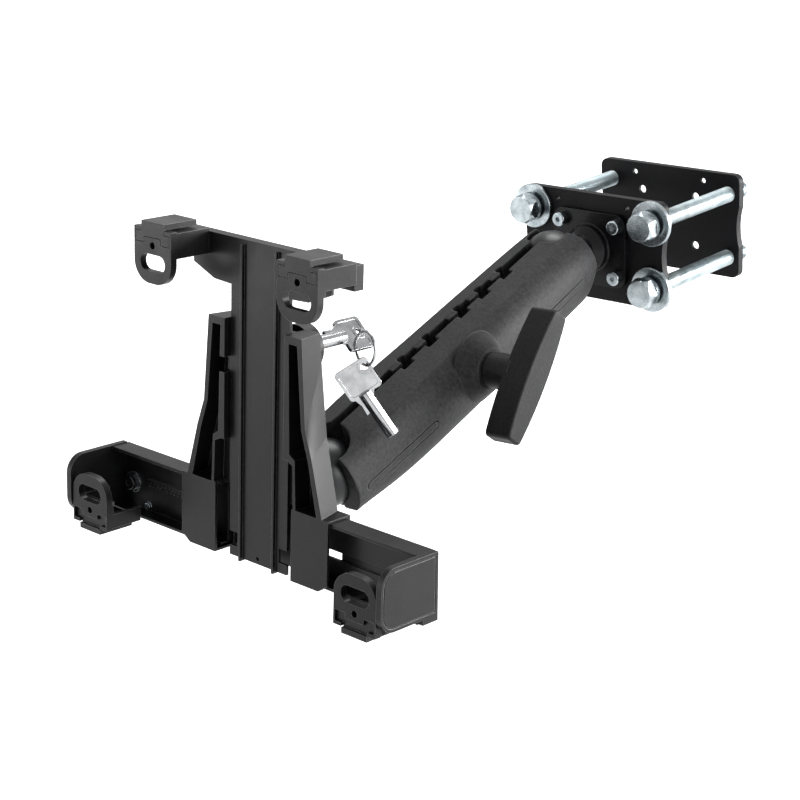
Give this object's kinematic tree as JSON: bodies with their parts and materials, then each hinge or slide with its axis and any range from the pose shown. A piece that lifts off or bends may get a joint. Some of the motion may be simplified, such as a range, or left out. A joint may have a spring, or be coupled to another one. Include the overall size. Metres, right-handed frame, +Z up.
{
  "type": "forklift tablet mount",
  "caption": "Pillar clamp with a double ball arm carrying a lockable clawed tablet holder.",
  "frame": {"origin": "centre of the front clamp plate's face that bears on the pillar", "axes": "+Y from that face back through the pillar, +X across the clamp toward the knob side, +Z up"},
  "size_m": [0.2374, 0.4392, 0.184],
  "materials": {
    "plate_black": "satin black coat",
    "zinc_steel": "bright zinc plate",
    "base_black": "satin black coat",
    "ball_rubber": "smooth satin",
    "arm_charcoal": "fine grained",
    "knob_plastic": "fine grained",
    "inner_steel": "plain steel",
    "holder_plastic": "fine grained",
    "claw_plastic": "fine grained",
    "key_plastic": "fine grained",
    "black_steel": "black oxide",
    "chrome": "bright"
  },
  "bodies": {
    "clamp": {"front_plate": "plate_black", "clamp_bolts": "zinc_steel", "flat_washers": "zinc_steel", "spring_washers": "zinc_steel", "rear_ball_base": "base_black", "rear_base_screws": "zinc_steel"},
    "back_clamp": {"back_plate": "plate_black"},
    "rear_ball": {"rear_ball": "ball_rubber"},
    "arm": {"arm_half_far": "arm_charcoal", "arm_nut": "inner_steel", "knob_stud": "inner_steel", "arm_spring": "inner_steel"},
    "arm_near": {"arm_half_near": "arm_charcoal"},
    "knob": {"knob_handle": "knob_plastic", "knob_washer": "inner_steel"},
    "front_ball": {"front_ball": "ball_rubber"},
    "holder": {"holder_ball_base": "base_black", "holder_base_screws": "zinc_steel", "holder_housing": "holder_plastic"},
    "column": {"column_slide": "holder_plastic", "upper_claw_left": "claw_plastic", "upper_claw_right": "claw_plastic", "upper_key_left": "key_plastic", "upper_key_right": "key_plastic"},
    "end_left": {"end_arm_left": "holder_plastic", "end_cap_left": "holder_plastic", "lower_claw_left": "claw_plastic", "lower_key_left": "key_plastic", "rail_screw": "black_steel", "rail_washer": "zinc_steel", "rail_rivet": "zinc_steel"},
    "end_right": {"end_arm_right": "holder_plastic", "end_cap_right": "holder_plastic", "lower_claw_right": "claw_plastic", "lower_key_right": "key_plastic"},
    "lock": {"lock_plug": "chrome", "key_in_lock": "chrome"},
    "ring": {"key_ring": "chrome"},
    "spare": {"spare_key": "chrome"}
  },
  "joints": [
    {"name": "back_plate_slide", "type": "slide", "parent": "clamp", "child": "back_clamp", "axis": [0, 1, 0], "range_m": [-0.06, 0.002]},
    {"name": "rear_ball_swivel", "type": "hinge", "parent": "clamp", "child": "rear_ball", "pos_m": [0, -0.047, 0], "axis": [0, 1, 0], "range_deg": [-180, 180]},
    {"name": "rear_ball_tilt", "type": "hinge", "parent": "rear_ball", "child": "arm", "pos_m": [0, -0.047, 0], "axis": [0.9991, 0.0049, 0.0416], "range_deg": [-50, 25]},
    {"name": "arm_half_spread", "type": "slide", "parent": "arm", "child": "arm_near", "axis": [0.9991, 0.0049, 0.0416], "range_m": [0, 0.0025]},
    {"name": "knob_turn", "type": "hinge", "parent": "arm_near", "child": "knob", "pos_m": [0.05186, -0.15157, -0.03125], "axis": [0.9991, 0.0049, 0.0416], "range_deg": [0, 720]},
    {"name": "front_ball_tilt", "type": "hinge", "parent": "arm", "child": "front_ball", "pos_m": [0.0038, -0.25662, -0.06667], "axis": [0.9991, 0.0049, 0.0416], "range_deg": [-25, 50]},
    {"name": "front_ball_swivel", "type": "hinge", "parent": "front_ball", "child": "holder", "pos_m": [0.0038, -0.25662, -0.06667], "axis": [0.0211, 0.9961, -0.0853], "range_deg": [-180, 180]},
    {"name": "upper_claw_slide", "type": "slide", "parent": "holder", "child": "column", "axis": [0.0265, 0.0847, 0.9961], "range_m": [0, 0.055]},
    {"name": "left_arm_slide", "type": "slide", "parent": "holder", "child": "end_left", "axis": [0.9994, -0.0233, -0.0246], "range_m": [-0.012, 0.026]},
    {"name": "right_arm_slide", "type": "slide", "parent": "holder", "child": "end_right", "axis": [-0.9994, 0.0233, 0.0246], "range_m": [-0.012, 0.026]},
    {"name": "lock_turn", "type": "hinge", "parent": "holder", "child": "lock", "pos_m": [0.02129, -0.27971, 0.01505], "axis": [-0.0211, -0.9961, 0.0853], "range_deg": [0, 90]},
    {"name": "key_ring_swing", "type": "hinge", "parent": "lock", "child": "ring", "pos_m": [0.02269, -0.24402, 0.01138], "axis": [0.6526, -0.0578, 0.7555], "range_deg": [-15, 15]},
    {"name": "spare_key_swing", "type": "hinge", "parent": "ring", "child": "spare", "pos_m": [0.02878, -0.24769, -0.0033], "axis": [-0.9687, 0.2483, 0.0064], "range_deg": [-15, 15]}
  ],
  "couplings": [
    {"joint": "knob_turn", "follows": "arm_half_spread", "rad_per_m": 5026.5},
    {"joint": "right_arm_slide", "follows": "left_arm_slide", "ratio": 1}
  ]
}
